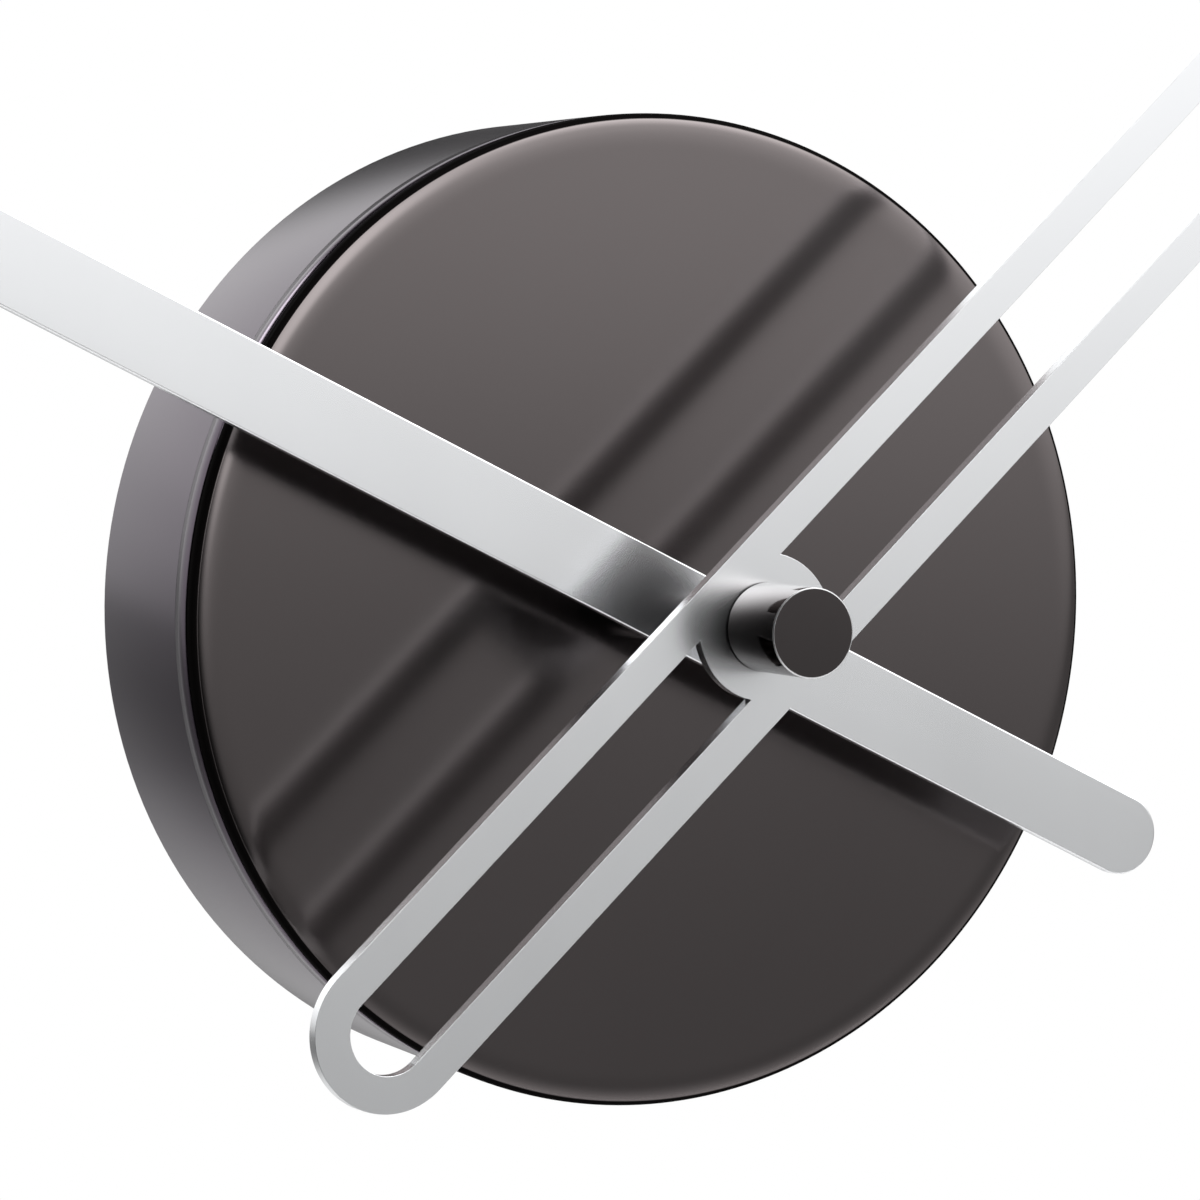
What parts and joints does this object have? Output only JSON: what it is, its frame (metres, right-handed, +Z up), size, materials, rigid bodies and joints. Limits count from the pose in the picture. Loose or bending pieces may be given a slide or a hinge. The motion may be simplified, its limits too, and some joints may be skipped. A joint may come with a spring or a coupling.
{
  "type": "wall clock",
  "caption": "Wall clock without a dial: a round drum carries a long plain bar for the hour and a long open loop for the minute, with a dark round cap on the axis.",
  "frame": {"origin": "where the hands' axis meets the wall, in the middle of the wall plate's back face", "axes": "+Z up, +X to the right seen from the front, -Y out of the wall towards the viewer"},
  "size_m": [0.5312, 0.0887, 0.288],
  "materials": {
    "plate_steel": "pale grey paint",
    "case_paint": "satin anthracite lacquer",
    "disc_gunmetal": "polished gunmetal",
    "hand_metal": "fine satin",
    "hub_metal": "turned",
    "cap_dark": "dark chrome",
    "seam_black": "matte",
    "screw_steel": "zinc plated",
    "arbor_steel": "polished",
    "housing_white": "fine spark texture",
    "bridge_ivory": "moulded",
    "gear_white": "moulded acetal",
    "gear_cream": "moulded acetal",
    "knob_black": "moulded",
    "brass": "turned",
    "rubber_black": "matte",
    "foam_black": "open cell foam",
    "board_green": "solder resist",
    "chip_black": "cast resin",
    "can_metal": "drawn can",
    "copper_wire": "enamelled copper",
    "soft_iron": "nickel plated",
    "magnet_grey": "ferrite",
    "cell_sleeve": "printed sleeve",
    "contact_metal": "nickel plated spring steel"
  },
  "bodies": {
    "case": {"wall_plate": "plate_steel", "case_drum": "case_paint", "lock_screw": "screw_steel", "front_disc": "disc_gunmetal", "foam_ring": "foam_black", "front_housing": "housing_white", "rear_housing": "housing_white", "housing_screws": "screw_steel", "train_bridge": "bridge_ivory", "bridge_screws": "screw_steel", "circuit_board": "board_green", "driver_chip": "chip_black", "quartz_crystal": "can_metal", "coil_bobbin": "bridge_ivory", "coil_winding": "copper_wire", "coil_core": "soft_iron", "stator": "soft_iron", "coil_screws": "screw_steel", "threaded_bushing": "brass", "rubber_washer": "rubber_black", "flat_washer": "brass", "hex_nut": "brass", "battery_cell": "cell_sleeve", "positive_contact": "contact_metal", "negative_contact": "contact_metal"},
    "minute_assembly": {"centre_wheel": "gear_cream", "clutch_spring": "brass", "minute_shaft": "arbor_steel", "cannon_pinion": "brass", "minute_hub": "hub_metal", "minute_hand": "hand_metal", "cap_washer": "seam_black", "hand_cap": "cap_dark"},
    "hour_assembly": {"hour_wheel": "brass", "hour_hub": "hub_metal", "hour_hand": "hand_metal"},
    "minute_wheel_body": {"minute_wheel": "gear_white"},
    "third_wheel_body": {"third_wheel": "gear_white"},
    "fourth_wheel_body": {"fourth_wheel": "gear_cream"},
    "intermediate_wheel_body": {"intermediate_wheel": "gear_white"},
    "rotor_body": {"rotor_pinion": "arbor_steel", "rotor_magnet": "magnet_grey"},
    "setting_body": {"setting_arbor": "arbor_steel", "setting_knob": "knob_black"}
  },
  "joints": [
    {"name": "minute_hand_turn", "type": "hinge", "parent": "case", "child": "minute_assembly", "pos_m": [0, 0, 0], "axis": [0, 1, 0], "continuous": true},
    {"name": "hour_hand_turn", "type": "hinge", "parent": "case", "child": "hour_assembly", "pos_m": [0, 0, 0], "axis": [0, 1, 0], "continuous": true},
    {"name": "minute_wheel_turn", "type": "hinge", "parent": "case", "child": "minute_wheel_body", "pos_m": [0.00707, 0, -0.00707], "axis": [0, 1, 0], "continuous": true},
    {"name": "third_wheel_turn", "type": "hinge", "parent": "case", "child": "third_wheel_body", "pos_m": [-0.01559, 0, 0.009], "axis": [0, 1, 0], "continuous": true},
    {"name": "fourth_wheel_turn", "type": "hinge", "parent": "case", "child": "fourth_wheel_body", "pos_m": [-0.00166, 0, 0.01875], "axis": [0, 1, 0], "continuous": true},
    {"name": "intermediate_wheel_turn", "type": "hinge", "parent": "case", "child": "intermediate_wheel_body", "pos_m": [0.01212, 0, 0.01632], "axis": [0, 1, 0], "continuous": true},
    {"name": "rotor_turn", "type": "hinge", "parent": "case", "child": "rotor_body", "pos_m": [0.01812, 0, 0.00593], "axis": [0, 1, 0], "continuous": true},
    {"name": "setting_knob_turn", "type": "hinge", "parent": "case", "child": "setting_body", "pos_m": [0.01707, 0, -0.00707], "axis": [0, 1, 0], "continuous": true}
  ],
  "couplings": [
    {"joint": "hour_hand_turn", "follows": "minute_hand_turn", "ratio": 0.083333},
    {"joint": "minute_wheel_turn", "follows": "minute_hand_turn", "ratio": -0.33333},
    {"joint": "third_wheel_turn", "follows": "minute_hand_turn", "ratio": -8},
    {"joint": "fourth_wheel_turn", "follows": "minute_hand_turn", "ratio": 60},
    {"joint": "intermediate_wheel_turn", "follows": "minute_hand_turn", "ratio": -360},
    {"joint": "rotor_turn", "follows": "minute_hand_turn", "ratio": 1800},
    {"joint": "setting_knob_turn", "follows": "minute_hand_turn", "ratio": 1}
  ]
}
